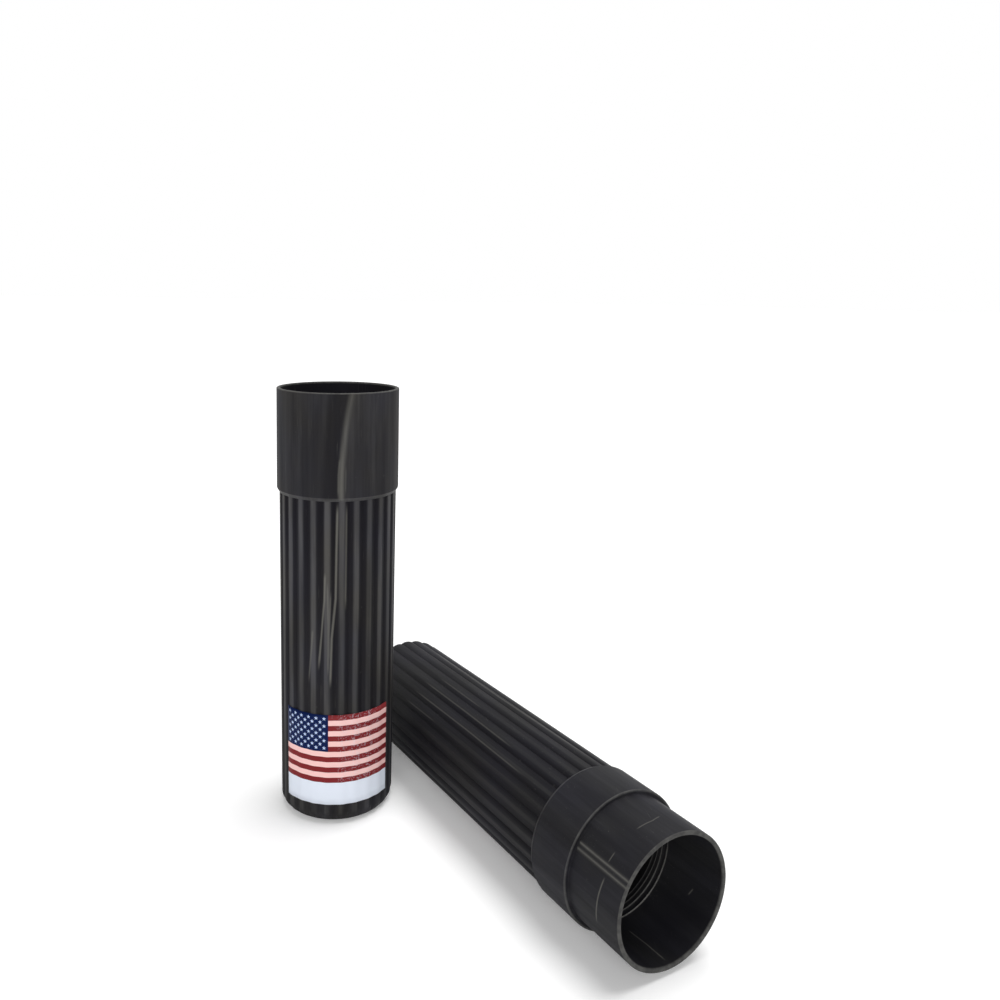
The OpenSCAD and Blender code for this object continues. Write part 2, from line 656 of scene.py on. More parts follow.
@dataclass(frozen=True)
class FrontStreak:
    """The pale line that wanders down the front of a half.

    Attributes:
        low: angle in degrees and height where it settles.
        top: angle in degrees and height where it starts.
        bend: how strongly it bends towards its top.
        end: height where it has faded out.
        fade: length over which it fades out.
        width: width of its bright core.
        strength: how pale its core is, from 0 to 1, in the haze's gaps and in its thick.
        paling: share of its strength that is left at its top and where it settles.
        falloff: power by which its core fades sideways.
        skirt: width of the pale skirt on its right.
        skirt_gain: share by which the wear rises in the skirt.
        shade: where the dark side on its left starts and where it is full.
        shade_loss: share by which the wear falls there.
    """

    low: Pair
    top: Pair
    bend: float = 2.0
    end: float = 78.0
    fade: float = 1.5
    width: float = 1.15
    strength: Pair = (0.392, 0.56)
    paling: Pair = (0.5, 1.0)
    falloff: float = 1.5
    skirt: float = 14.0
    skirt_gain: float = 0.8
    shade: Pair = (-5.5, -3.3)
    shade_loss: float = 0.7

    def drawn(self, bench: MaterialBench, half: "MouldedHalf", haze: Value) -> tuple[Value, Value]:
        """Draws the line.

        Args:
            bench: the bench of the material.
            half: the half, which places the line.
            haze: the mask that breaks the line up.

        Returns:
            What the wear is multiplied by beside the line, and the mask of its core.
        """
        axes = bench.axes(bench.unrolled)
        height = axes["Y"]
        low, top = half.unrolled_place(*self.low), half.unrolled_place(*self.top)
        climb = bench.maths("MAXIMUM", (height - low[1]) / (top[1] - low[1]), 0.0)
        line = bench.maths("POWER", climb, self.bend) * (top[0] - low[0]) + low[0]
        off = axes["X"] - line
        shown = bench.ramp(height, self.end, self.end + self.fade) * (axes["Z"] < INSIDE_OFFSET_MM / 2)

        skirt = bench.ramp(off, self.skirt, 0.0) * (off > 0.0)
        shade = bench.ramp(off, *self.shade) * bench.ramp(off, 0.0, -self.width)
        beside = (skirt * self.skirt_gain - shade * self.shade_loss) * shown + 1.0

        core = bench.ramp(bench.maths("ABSOLUTE", off), self.width, 0.0)
        core = bench.maths("POWER", core, self.falloff) * shown * haze.between(*self.strength)
        return beside, core * bench.ramp(height, top[1], low[1], *self.paling)


@dataclass(frozen=True)
class BlackPlastic:
    """Satin black moulded plastic, paler on its crests and rims and darker in its notches and hollows, with
    fine scratches; the paling is partly rubbing and partly painted highlight, the dark partly painted shade.

    Attributes:
        deep: its colour in notches and hollows, whose dark is partly painted shade.
        worn: its colour on the rib crests, which is partly rubbing and partly painted highlight.
        warm: what the colour is multiplied by where it leans to brown.
        cool: what the colour is multiplied by where it leans to blue.
        rubbed: its colour in dust, on rims, where it is partly rubbing and partly painted highlight, and in
            the painted highlight lines along the crests.
        scratch_and_highlight: its colour in scratches, in the front streak and in the painted highlights
            along some crests.
        painted_glint: its colour in the painted highlights where an edge catches the light.
        roughness: its roughness on crests.
        hollow_roughness: its roughness in notches and hollows.
        specular: its specular level.
        wear_clouds: what its wear is multiplied by.
        rough_clouds: what is added to its roughness.
        tints: size and stretch of the clouds between warm and cool.
        haze: size and stretch of the haze on it.
        rim_haze: what the rims' paling is multiplied by, from the haze's gaps to its thick.
        haze_relief: height of the haze, as a share of the relief.
        grain: scale and detail of the mould's grain.
        grain_relief: height of the grain, as a share of the relief.
        relief: strength of the relief, and its depth.
        streaks: length, width and amount of the field of scratches.
        streak_turn: how the field is turned against the half's axis.
        streak_strength: how pale the field is, from 0 to 1.
        dust: spacing and size of the dust, and the share of it that shows.
        dust_strength: how pale the dust is, from 0 to 1.
        marks_and_highlights: the single marks that it bears, with painted highlights along some crests.
        painted_glints: the painted highlights on single edges that catch the light.
        front_streak: its pale streak down the front, if it shows one.
    """

    deep: Colour = (0.007, 0.0067, 0.0086, 1.0)
    worn: Colour = (0.062, 0.062, 0.0605, 1.0)
    warm: Colour = (1.05, 1.0, 0.92, 1.0)
    cool: Colour = (0.97, 0.965, 1.13, 1.0)
    rubbed: Colour = (0.1, 0.099, 0.093, 1.0)
    scratch_and_highlight: Colour = (0.17, 0.166, 0.148, 1.0)
    painted_glint: Colour = (0.36, 0.35, 0.33, 1.0)
    roughness: float = 0.52
    hollow_roughness: float = 0.65
    specular: float = 0.08
    wear_clouds: tuple[Clouds, ...] = (
        Clouds(7.0, 6.0, 0.8, 1.1),
        Clouds(3.2, 9.0, 0.6, 1.2),
        Clouds(0.55, 45.0, 0.87, 1.09),
    )
    rough_clouds: tuple[Clouds, ...] = (Clouds(7.0, 6.0, -0.04, 0.04), Clouds(1.6, 14.0, -0.03, 0.03))
    tints: Pair = (13.0, 1.6)
    haze: Pair = (1.6, 14.0)
    rim_haze: Pair = (0.5, 1.0)
    haze_relief: float = 0.25
    grain: Pair = (7.0, 2.0)
    grain_relief: float = 0.35
    relief: Pair = (0.35, 0.02)
    streaks: Point = (9.0, 0.12, 0.5)
    streak_turn: Point = (0.0, 0.0, 0.0)
    streak_strength: float = 0.2
    dust: Point = (1.9, 0.5, 0.1)
    dust_strength: float = 0.12
    marks_and_highlights: tuple[Mark, ...] = ()
    painted_glints: tuple[Mark, ...] = ()
    front_streak: FrontStreak | None = None

    def build(self, kit: Kit, half: "MouldedHalf") -> bpy.types.Material:
        """Builds the material.

        Args:
            kit: the shared effects.
            half: the half that wears it, which names it and places its marks.

        Returns:
            The material.
        """
        bench = MaterialBench(half.slot, kit)
        haze = bench.clouds(*self.haze)
        wear = bench.read(WEAR)
        for clouds in self.wear_clouds:
            wear = wear * bench.clouded(clouds)
        field = bench.streaks(*self.streaks, self.streak_turn) * self.streak_strength
        # The marks include painted highlights along some crests
        scratches_and_highlights = bench.maths("MAXIMUM", field, bench.marks_and_highlights(self.marks_and_highlights, half))
        # Rims in the rubbed colour are partly rubbing and partly painted highlight
        layers = [
            (bench.read(RIM) * haze.between(*self.rim_haze), self.rubbed),
            (bench.dust(*self.dust) * self.dust_strength, self.rubbed),
            (scratches_and_highlights, self.scratch_and_highlight),
        ]
        if self.front_streak:
            beside, core = self.front_streak.drawn(bench, half, haze)
            wear = wear * beside
            layers.append((core, self.scratch_and_highlight))
        # Painted highlights where the rings inside catch the light
        layers.append((bench.marks_and_highlights(self.painted_glints, half), self.painted_glint))

        tint = bench.mix(bench.clouds(*self.tints), self.warm, self.cool)
        # Deep to worn: partly wear, partly painted shade in notches and hollows and painted highlight on
        # crests
        colour = bench.vectors("MULTIPLY", bench.mix(wear, self.deep, self.worn), tint)
        for mask, shown in layers:
            colour = bench.mix(mask, colour, shown)
        rough = bench.read(WEAR).between(self.hollow_roughness, self.roughness)
        for clouds in self.rough_clouds:
            rough = rough + bench.clouded(clouds)
        relief = haze * self.haze_relief - scratches_and_highlights
        relief = relief + bench.noise(bench.place, *self.grain) * self.grain_relief
        return bench.finished(colour, rough, self.specular, {"Normal": bench.bump(relief, *self.relief)})


@dataclass(kw_only=True)
class Piece:
    """A piece of the object.

    Attributes:
        name: the name of the piece.
        node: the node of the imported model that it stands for.
        body: the body that it rides on.
        slot: the record's material slot that its finish belongs to, which also names the material.
    """

    name: str
    node: str
    body: str
    slot: str

    def placed(
        self, bm: bmesh.types.BMesh, placement: Matrix, material: bpy.types.Material
    ) -> bpy.types.Object:
        """Puts a modelled shape in its place and dresses it.

        Args:
            bm: the shape, in the frame of its half.
            placement: what takes it from there to its place, in metres.
            material: its material.

        Returns:
            The piece.
        """
        bm.transform(placement @ Matrix.Scale(MM, 4))
        piece = mesh_object(self.name, bm)
        piece.data.materials.append(material)
        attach(piece, self.body)
        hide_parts(self.node)
        LOG.info("%s: %d faces, on body %s", self.name, len(piece.data.polygons), self.body)
        return piece


@dataclass(kw_only=True)
class MouldedHalf(Piece):
    """One half of the tube: a rounded closed end, a ribbed tube and a plain collar.

    Attributes:
        collar_radius: outer radius of the collar.
        tube_len: height at which the ribs end and the collar starts.
        first_rib: angle of the first rib, in degrees.
        wrap: angle in degrees at which the half is slit to unroll it.
        placement: what takes the half from where it was modelled to its place, in metres.
        plain_wear: how far its plain faces are rubbed, from 0 to 1.
        inside_wear_and_shade: how pale its inside is, from 0 to 1, kept below its plain faces partly as
            painted shade.
        ribbing: its ribs.
        tube_wall: wall of the ribbed tube, measured in from the crests.
        end_wall: thickness of the closed end.
        floor_chamfer: chamfer round the floor of the inside.
        shoulder: length of the slope out to the collar.
        lip: radius that rounds the edges of the mouth and the collar.
        soft_edge: radius that rounds the edges of the inside.
        end_steps: chords in the rounding of the closed end.
    """

    collar_radius: float
    tube_len: float
    first_rib: float
    wrap: float
    placement: Matrix = Matrix.Identity(4)
    plain_wear: float = 0.3
    inside_wear_and_shade: float = 0.0
    ribbing: Ribbing = Ribbing()
    tube_wall: float = 1.7
    end_wall: float = 1.3
    floor_chamfer: float = 1.0
    shoulder: float = 0.9
    lip: float = 0.25
    soft_edge: float = 0.12
    end_steps: int = 12

    def cavity_at(self, height: float) -> float:
        """Gives the radius of the inside at a height above the closed end, in mm."""
        return self.ribbing.crest_at(height) - self.tube_wall

    def closed_end(self) -> list[Corner]:
        """Draws the section from the foot's centre to the top of the collar's shoulder.

        Returns:
            Its corners, in order.
        """
        ribs = self.ribbing
        crest = ribs.crest_at(self.tube_len)
        # Two rings close together end the notches in a sharp step under the shoulder
        return [
            Corner(0.0, 0.0, Zone.FOOT),
            Corner(ribs.crest_radius, 0.0, Zone.RIBS, ribs.end_round, self.end_steps),
            Corner(crest, self.tube_len - MERGE_MM * 2, Zone.RIBS),
            Corner(crest, self.tube_len, Zone.SHOULDER),
            Corner(self.collar_radius, self.tube_len + self.shoulder, Zone.COLLAR, self.lip),
        ]

    def floor(self) -> list[Corner]:
        """Draws the section from the foot of the inside's wall to the centre of its floor."""
        wall = self.cavity_at(self.end_wall)
        return [
            Corner(wall, self.end_wall + self.floor_chamfer, Zone.INSIDE, self.soft_edge),
            Corner(wall - self.floor_chamfer, self.end_wall, Zone.INSIDE, self.soft_edge),
            Corner(0.0, self.end_wall, Zone.INSIDE),
        ]

    def mouth_side(self) -> list[Corner]:
        """Draws the section from the collar over the mouth to the foot of the inside's wall."""
        raise NotImplementedError

    def raised(self, column: int, zone: Zone) -> float:
        """Gives how far the surface is raised at a column of the mesh, in mm."""
        return 0.0

    def unrolled_place(self, degrees: float, height: float, inside: bool = False) -> Point:
        """Gives the way round from the slit, the height and the side of a place, in mm."""
        turn = math.radians((degrees - self.wrap) % 360)
        return turn * self.ribbing.crest_radius, height, INSIDE_OFFSET_MM if inside else 0.0

    def turned(self) -> tuple[bmesh.types.BMesh, bmesh.types.BMLayerItem]:
        """Turns the section into a closed shell.

        Returns:
            The shell in mm, and the layer that holds each vertex's zone.
        """
        bm = bmesh.new()
        zones = bm.verts.layers.int.new("zone")
        start = math.radians(self.first_rib)
        verts = []
        for point in rounded([*self.closed_end(), *self.mouth_side(), *self.floor()]):
            at = (point.radius * math.cos(start), point.radius * math.sin(start), point.height)
            verts.append(bm.verts.new(at))
            verts[-1][zones] = point.zone.value
        for low, high in zip(verts, verts[1:]):
            bm.edges.new((low, high))
        bmesh.ops.spin(
            bm,
            geom=[*bm.verts, *bm.edges],
            cent=(0.0, 0.0, 0.0),
            axis=(0.0, 0.0, 1.0),
            angle=math.tau,
            steps=self.ribbing.count * self.ribbing.columns,
            use_merge=True,
        )
        bmesh.ops.remove_doubles(bm, verts=bm.verts[:], dist=MERGE_MM / 10)
        bmesh.ops.recalc_face_normals(bm, faces=bm.faces[:])
        return bm, zones

    def relief(self, bm: bmesh.types.BMesh, zones: bmesh.types.BMLayerItem) -> None:
        """Cuts the notches, raises the seams and writes the attributes that the finish reads.

        Args:
            bm: the turned shell.
            zones: the layer that holds each vertex's zone.
        """
        ribs = self.ribbing
        local = bm.verts.layers.float_vector.new(LOCAL)
        unrolled = bm.verts.layers.float_vector.new(UNROLLED)
        wear = bm.verts.layers.float.new(WEAR)
        rim = bm.verts.layers.float.new(RIM)
        step = ribs.pitch / ribs.columns
        for vert in bm.verts:
            zone = Zone(vert[zones])
            angle = math.atan2(vert.co.y, vert.co.x)
            height = vert.co.z
            outward = Vector((math.cos(angle), math.sin(angle), 0.0))
            phase = angle - math.radians(self.first_rib)
            # Paler shoulders and edges are partly painted highlight; the darker inside is partly painted
            # shade
            vert[wear] = zone.wear(self.plain_wear, self.inside_wear_and_shade)
            vert[rim] = zone.rim
            if zone is Zone.RIBS:
                drop = max(0.0, ribs.end_round - height)
                tilt = math.asin(min(1.0, drop / ribs.end_round))
                lean = outward * math.cos(tilt) - Vector((0.0, 0.0, math.sin(tilt)))
                sink = ribs.sink_at(phase) * (1 - smooth_step(ribs.fade_from, ribs.fade_to, tilt))
                vert.co -= lean * sink
                # Crests pale, partly rubbing and partly painted highlight; notches stay dark, partly painted
                # shade; the paling fades out towards the foot
                bare = ribs.rubbed * (1 - smooth_step(0.0, ribs.rubbed_to, sink / ribs.depth)) ** 2
                high = smooth_step(ribs.crest_paling_from, ribs.crest_paling_to, height / ribs.end_round)
                vert[wear] += (bare - vert[wear]) * high
                # Painted highlight line along the middle of each crest
                vert[rim] = ribs.crest_highlight * (1 - smooth_step(0.0, ribs.crest_highlight_to, sink / ribs.depth)) * high
            lift = self.raised(round(phase / step) % (ribs.count * ribs.columns), zone)
            vert.co += outward * lift
            vert[rim] = 1.0 if lift > 0 else vert[rim]
            vert[local] = vert.co
            vert[unrolled] = self.unrolled_place(math.degrees(angle), height, zone is Zone.INSIDE)
        bm.verts.layers.int.remove(zones)

    def build(self, finish: BlackPlastic, kit: Kit) -> bpy.types.Object:
        """Builds the half, puts it in its place and dresses it.

        Args:
            finish: the plastic that it is made of.
            kit: the shared effects.

        Returns:
            The piece.
        """
        bm, zones = self.turned()
        self.relief(bm, zones)
        return self.placed(bm, self.placement, finish.build(kit, self))


@dataclass(kw_only=True)
class LowerHalf(MouldedHalf):
    """The half that stands on its closed end. The inside of its long collar is the cap's socket.

    Attributes:
        height: whole height.
        socket_radius: radius of the socket.
        socket_floor: height of the socket's floor.
    """

    name: str = "lower_half"
    node: str = "base_tube"
    body: str = "base"
    slot: str = "base_plastic"
    tube_len: float = 78.3
    first_rib: float = 1.5
    wrap: float = 67.0
    ribbing: Ribbing = Ribbing(fade_from=math.radians(12), fade_to=math.radians(58))
    height: float
    socket_radius: float
    socket_floor: float = 80.5

    def mouth_side(self) -> list[Corner]:
        """Draws the long collar, the rim, the socket and the step down to the inside's wall.

        Returns:
            The section's corners, in order.
        """
        wall = self.cavity_at(self.socket_floor)
        step = self.socket_radius - wall
        return [
            Corner(self.collar_radius, self.height, Zone.MOUTH, self.lip),
            Corner(self.socket_radius, self.height, Zone.MOUTH, self.lip),
            Corner(self.socket_radius, self.height - 2 * self.lip, Zone.INSIDE),
            Corner(self.socket_radius, self.socket_floor, Zone.INSIDE, self.soft_edge),
            Corner(wall, self.socket_floor - step, Zone.INSIDE, self.soft_edge),
        ]


@dataclass(kw_only=True)
class CapHalf(MouldedHalf):
    """The half that lies on its side, with a neck that pushes into the other half's socket.

    Attributes:
        collar_top: height of the collar's end face.
        height: whole height.
        neck_radius: outer radius of the neck.
        neck_wall: wall of the neck.
        bore_past_neck: how far the smooth bore runs on into the collar.
        ledge: length of the slope that ends the smooth bore.
        seam_angle: middle of the neck's double seam, in degrees.
        seam_columns: columns of the mesh between the seam's two lines.
        seam_height: how far the lines stand proud.
        rings: heights of the fine rings round the inside, from the mouth down.
        ring_rise: how far a ring stands in from the wall.
        ring_half: half the width of a ring's foot.
    """

    name: str = "cap_half"
    node: str = "cap_tube"
    body: str = "cap"
    slot: str = "cap_plastic"
    tube_len: float = 83.2
    first_rib: float = 6.6
    wrap: float = -130.0
    plain_wear: float = 0.42
    inside_wear_and_shade: float = 0.27
    ribbing: Ribbing = Ribbing(rubbed_to=0.9, rubbed=0.23, crest_highlight=0.14)
    collar_top: float = 94.7
    height: float = 108.9
    neck_radius: float
    neck_wall: float = 0.9
    bore_past_neck: float = 1.1
    ledge: float = 1.0
    seam_angle: float = 148.4
    seam_columns: int = 4
    seam_height: float = 0.07
    rings: tuple[float, ...] = (94.3, 93.1, 92.1, 91.1)
    ring_rise: float = 0.1
    ring_half: float = 0.2

    @property
    def bore(self) -> float:
        """The radius of the neck's smooth bore, in mm."""
        return self.neck_radius - self.neck_wall

    @property
    def bore_floor(self) -> float:
        """The height where the smooth bore ends, in mm."""
        return self.collar_top - self.bore_past_neck

    def wall_at(self, height: float) -> float:
        """Gives the radius of the inside, from the tapering wall over the ledge to the bore.

        Args:
            height: height above the closed end, in mm.

        Returns:
            The radius, in mm.
        """
        taper = self.cavity_at(min(height, self.bore_floor - self.ledge))
        share = (height - self.bore_floor + self.ledge) / self.ledge
        return taper + (self.bore - taper) * min(1.0, max(0.0, share))

    def ringed(self) -> list[Corner]:
        """Draws the rings round the inside, and the slope of the ledge between them.

        Returns:
            The section's corners, from the mouth down.
        """
        ledge = (self.bore_floor, self.bore_floor - self.ledge)
        points = [(self.wall_at(height), height) for height in ledge]
        for height in self.rings:
            for off, rise in ((self.ring_half, 0.0), (0.0, self.ring_rise), (-self.ring_half, 0.0)):
                points.append((self.wall_at(height + off) - rise, height + off))
        points.sort(key=lambda point: -point[1])
        return [Corner(radius, height, Zone.INSIDE) for radius, height in points]

    def mouth_side(self) -> list[Corner]:
        """Draws the collar's end face, the neck, the rim, the smooth bore, its ledge and the rings."""
        return [
            Corner(self.collar_radius, self.collar_top - 2 * self.lip, Zone.COLLAR),
            Corner(self.collar_radius, self.collar_top, Zone.EDGE, self.lip),
            Corner(self.collar_radius - 2 * self.lip, self.collar_top, Zone.COLLAR),
            Corner(self.neck_radius, self.collar_top, Zone.COLLAR, self.soft_edge),
            Corner(self.neck_radius, self.collar_top + 2 * self.lip, Zone.NECK),
            Corner(self.neck_radius, self.height - 2 * self.lip, Zone.NECK),
            Corner(self.neck_radius, self.height, Zone.MOUTH, self.lip),
            Corner(self.bore, self.height, Zone.MOUTH, self.lip),
            Corner(self.bore, self.height - 2 * self.lip, Zone.INSIDE),
            *self.ringed(),
        ]

    def raised(self, column: int, zone: Zone) -> float:
        """Raises the two lines of the neck's seam.

        Args:
            column: column of the mesh, counted from the first rib.
            zone: the zone of the surface.

        Returns:
            How far the surface is raised, in mm.
        """
        if zone is not Zone.NECK:
            return 0.0
        step = math.degrees(self.ribbing.pitch) / self.ribbing.columns
        middle = round((self.seam_angle - self.first_rib) / step)
        return self.seam_height if abs(column - middle) == self.seam_columns // 2 else 0.0


@dataclass(frozen=True)
class FlagPrint:
    """Ink on glossy white film: thirteen stripes and fifty stars over a bare pale band.

    Attributes:
        red: colour of the red stripes.
        pale: colour of the pale stripes.
        blue: colour of the canton.
        star: colour of the stars.
        band: colour of the bare band.
        stripes: number of stripes.
        canton_stripes: stripes beside the canton.
        canton_w: width of the canton.
        band_h: height of the bare band.
        star_columns: columns of the grid whose every other place holds a star.
        star_rows: rows of that grid.
        star_r: radius of a star's points.
        rubbed_from: where the rubbed stretch starts, measured from the label's left edge.
        rubbed_to: where it ends.
        rubbed_fade: length over which it fades out at either end.
        rubbed_share: how far the rubbed print pales, from 0 to 1.
        crest_edges: wear of the film from which and to which the rubbing rises.
        notch_rubbing: share of the rubbing that is left over a notch.
        spots: scale and detail of the rubbed spots.
        spot_edges: values of their noise between which a spot sets in.
        dust: spacing and size of the dust, and the share of it that shows.
        dust_strength: how pale the dust is, from 0 to 1.
        roughness: roughness of the film.
        rubbed_rough: what the rubbing adds to the roughness.
        film: scale and detail of the film's unevenness.
        rubbed_relief: how deep the rubbing goes, as a share of the relief.
        relief: strength of the relief, and its depth.
        specular: specular level of the film.
    """

    red: Colour = (0.192, 0.02, 0.023, 1.0)
    pale: Colour = (0.88, 0.56, 0.535, 1.0)
    blue: Colour = (0.002, 0.01, 0.06, 1.0)
    star: Colour = (0.5, 0.61, 0.84, 1.0)
    band: Colour = (0.72, 0.77, 0.86, 1.0)
    stripes: int = 13
    canton_stripes: int = 7
    canton_w: float = 11.65
    band_h: float = 5.52
    star_columns: int = 11
    star_rows: int = 9
    star_r: float = 0.52
    rubbed_from: float = 15.5
    rubbed_to: float = 23.0
    rubbed_fade: float = 3.0
    rubbed_share: float = 0.24
    crest_edges: Pair = (0.0, 0.8)
    notch_rubbing: float = 0.45
    spots: Pair = (2.6, 5.0)
    spot_edges: Pair = (0.5, 0.62)
    dust: Point = (1.3, 0.45, 0.16)
    dust_strength: float = 0.5
    roughness: Clouds = Clouds(3.0, 2.0, 0.29, 0.43)
    rubbed_rough: float = 0.2
    film: Pair = (1.3, 3.0)
    rubbed_relief: float = 0.3
    relief: Pair = (0.3, 0.05)
    specular: float = 0.06

    def build(self, kit: Kit, label: "PrintedLabel") -> bpy.types.Material:
        """Builds the material.

        Args:
            kit: the shared effects.
            label: the label that wears it, which names it and gives the print its size.

        Returns:
            The material.
        """
        bench = MaterialBench(label.slot, kit)
        uv = bench.values("ShaderNodeTexCoord")["UV"]
        axes = bench.axes(bench.vectors("MULTIPLY", uv, (label.width, label.height, 1.0)))
        across, up = axes["X"], axes["Y"]
        stripe_h = (label.height - self.band_h) / self.stripes
        canton_h = self.canton_stripes * stripe_h
        canton_low = label.height - canton_h
        canton = (across < self.canton_w) * (up > canton_low)
        stars = self.starred(bench, across, up - canton_low, canton_h)
        wear = self.worn(bench, across)
        odd = bench.maths("FLOORED_MODULO", bench.maths("FLOOR", (up - self.band_h) / stripe_h), 2.0)
        colour = bench.mix(odd, self.red, self.pale)
        colour = bench.mix(up < self.band_h, colour, self.band)
        colour = bench.mix(canton, colour, bench.mix(stars, self.blue, self.star))
        colour = bench.mix(wear * self.rubbed_share, colour, self.band)
        rough = bench.clouded(self.roughness) + wear * self.rubbed_rough
        relief = bench.noise(bench.place, *self.film) - wear * self.rubbed_relief
        return bench.finished(colour, rough, self.specular, {"Normal": bench.bump(relief, *self.relief)})

    def starred(self, bench: Bench, across: Value, up: Value, canton_h: float) -> Value:
        """Draws the stars, one in every other place of a grid.

        Args:
            bench: the bench of the material.
            across: place across the canton.
            up: height above the canton's lower edge.
            canton_h: height of the canton.

        Returns:
            The mask of the stars.
        """
        pitch_x, pitch_y = self.canton_w / (self.star_columns + 1), canton_h / (self.star_rows + 1)
        column, row = across / pitch_x, up / pitch_y
        total = bench.maths("ROUND", (column + row) * 0.5)
        apart = bench.maths("ROUND", (column - row) * 0.5)
        off_x = (column - (total + apart)) * pitch_x
        off_y = (row - (total - apart)) * pitch_y
        wedge = math.pi / 5
        inner = math.cos(2 * wedge) / math.cos(wedge)
        edge = Vector((inner * math.sin(wedge), 1 - inner * math.cos(wedge))).normalized()
        reach = bench.maths("SQRT", off_x * off_x + off_y * off_y)
        turn = bench.maths("PINGPONG", bench.maths("ARCTAN2", off_x, off_y), wedge)
        outward = reach * bench.maths("COSINE", turn) * edge.x
        sideways = reach * bench.maths("SINE", turn) * edge.y
        mask = (outward + sideways) < self.star_r * edge.x
        for value, count in ((column, self.star_columns), (row, self.star_rows)):
            mask = mask * (value > 0.5) * (value < count + 0.5)
        return mask

    def worn(self, bench: MaterialBench, across: Value) -> Value:
        """Rubs the print pale in small spots where the film lies on the rib crests, right of the middle.

        Args:
            bench: the bench of the material.
            across: place across the label.

        Returns:
            The mask of the wear.
        """
        rubbed = bench.ramp(bench.read(WEAR), *self.crest_edges, self.notch_rubbing)
        rubbed = rubbed * bench.ramp(bench.noise(bench.place, *self.spots), *self.spot_edges)
        rubbed = rubbed * bench.ramp(across, self.rubbed_from - self.rubbed_fade, self.rubbed_from)
        rubbed = rubbed * bench.ramp(across, self.rubbed_to + self.rubbed_fade, self.rubbed_to)
        return bench.maths("MAXIMUM", rubbed, bench.dust(*self.dust) * self.dust_strength)


@dataclass(kw_only=True)
class PrintedLabel(Piece):
    """The thin printed film over the rib crests, drawn in a little over the notches.

    Attributes:
        wearer: the half that it is stuck to.
        width: width round the half.
        height: height.
        low: height of its lower edge above the foot.
        facing: the direction that its middle faces, in degrees.
        thickness: its thickness.
        gap: how far it lies off the crests.
        sag: how far it is drawn in over a notch.
        rows: rows of the mesh.
    """

    name: str = "flag_film"
    node: str = "flag_label"
    body: str = "base"
    slot: str = "label_print"
    wearer: MouldedHalf
    width: float = 27.6
    height: float = 22.3
    low: float = 5.05
    facing: float = -113.0
    thickness: float = 0.15
    gap: float = 0.03
    sag: float = 0.1
    rows: int = 12

    def build(self, finish: FlagPrint, kit: Kit) -> bpy.types.Object:
        """Builds the label, wraps it round its half and dresses it.

        Args:
            finish: the print.
            kit: the shared effects.

        Returns:
            The piece.
        """
        ribs = self.wearer.ribbing
        span = self.width / ribs.crest_at(self.low + self.height / 2)
        columns = round(span / ribs.pitch * ribs.columns)
        bm = bmesh.new()
        bm.loops.layers.uv.new("print")
        local = bm.verts.layers.float_vector.new(LOCAL)
        wear = bm.verts.layers.float.new(WEAR)
        bmesh.ops.create_grid(bm, x_segments=columns, y_segments=self.rows, size=0.5, calc_uvs=True)
        for vert in bm.verts:
            angle = math.radians(self.facing) + vert.co.x * span
            height = self.low + (vert.co.y + 0.5) * self.height
            phase = (angle - math.radians(self.wearer.first_rib)) / ribs.pitch
            dip = (1 - math.cos(math.tau * phase)) / 2
            radius = ribs.crest_at(height) + self.gap - self.sag * dip
            vert.co = (radius * math.cos(angle), radius * math.sin(angle), height)
            vert[local] = vert.co
            vert[wear] = 1 - dip
        piece = self.placed(bm, self.wearer.placement, finish.build(kit, self))
        solid = piece.modifiers.new("thickness", "SOLIDIFY")
        solid.thickness = self.thickness * MM
        solid.offset = 1.0
        return piece


@dataclass(frozen=True)
class Camera:
    """The photograph's viewpoint.

    Attributes:
        place: where it stands, in metres.
        forward: the direction that it looks in.
        upward: the direction that is up in its picture.
        lens: focal length.
        sensor: width of the sensor.
        shift: how far the picture is shifted, as shares of its width.
        clip: nearest and farthest distance that it sees, in metres.
    """

    place: Point = (-0.085147, -0.197613, 0.124865)
    forward: Point = (0.4946, 0.8594, -0.1293)
    upward: Point = (0.0486, 0.1213, 0.9914)
    lens: float = 32.527
    sensor: float = 36.0
    shift: Pair = (0.05795, -0.0861)
    clip: Pair = (0.005, 20.0)

    def build(self) -> None:
        """Adds the camera and makes it the scene's own."""
        data = bpy.data.cameras.new("camera")
        data.lens = self.lens
        data.sensor_width = self.sensor
        data.shift_x, data.shift_y = self.shift
        data.clip_start, data.clip_end = self.clip
        ahead = Vector(self.forward).normalized()
        right = ahead.cross(Vector(self.upward)).normalized()
        turn = Matrix((right, right.cross(ahead), -ahead)).transposed().to_4x4()
        made = linked("camera", data)
        made.matrix_world = Matrix.Translation(self.place) @ turn
        bpy.context.scene.camera = made


@dataclass(frozen=True)
class Lamp:
    """A distant broad soft light, which lights the floor evenly.

    Attributes:
        name: its name.
        azimuth: direction that it shines from, in degrees from +X.
        elevation: its height above the horizon, in degrees.
        spread: how wide it is in the sky, in degrees.
        strength: how brightly it lights a white surface that faces it.
    """

    name: str
    azimuth: float
    elevation: float
    spread: float
    strength: float

    def build(self) -> None:
        """Adds the lamp."""
        data = bpy.data.lights.new(self.name, "SUN")
        data.angle = math.radians(self.spread)
        data.energy = self.strength * math.pi
        around, up = math.radians(self.azimuth), math.radians(self.elevation)
        back = Vector((math.cos(around) * math.cos(up), math.sin(around) * math.cos(up), math.sin(up)))
        linked(self.name, data).rotation_euler = (-back).to_track_quat("-Z", "Y").to_euler()


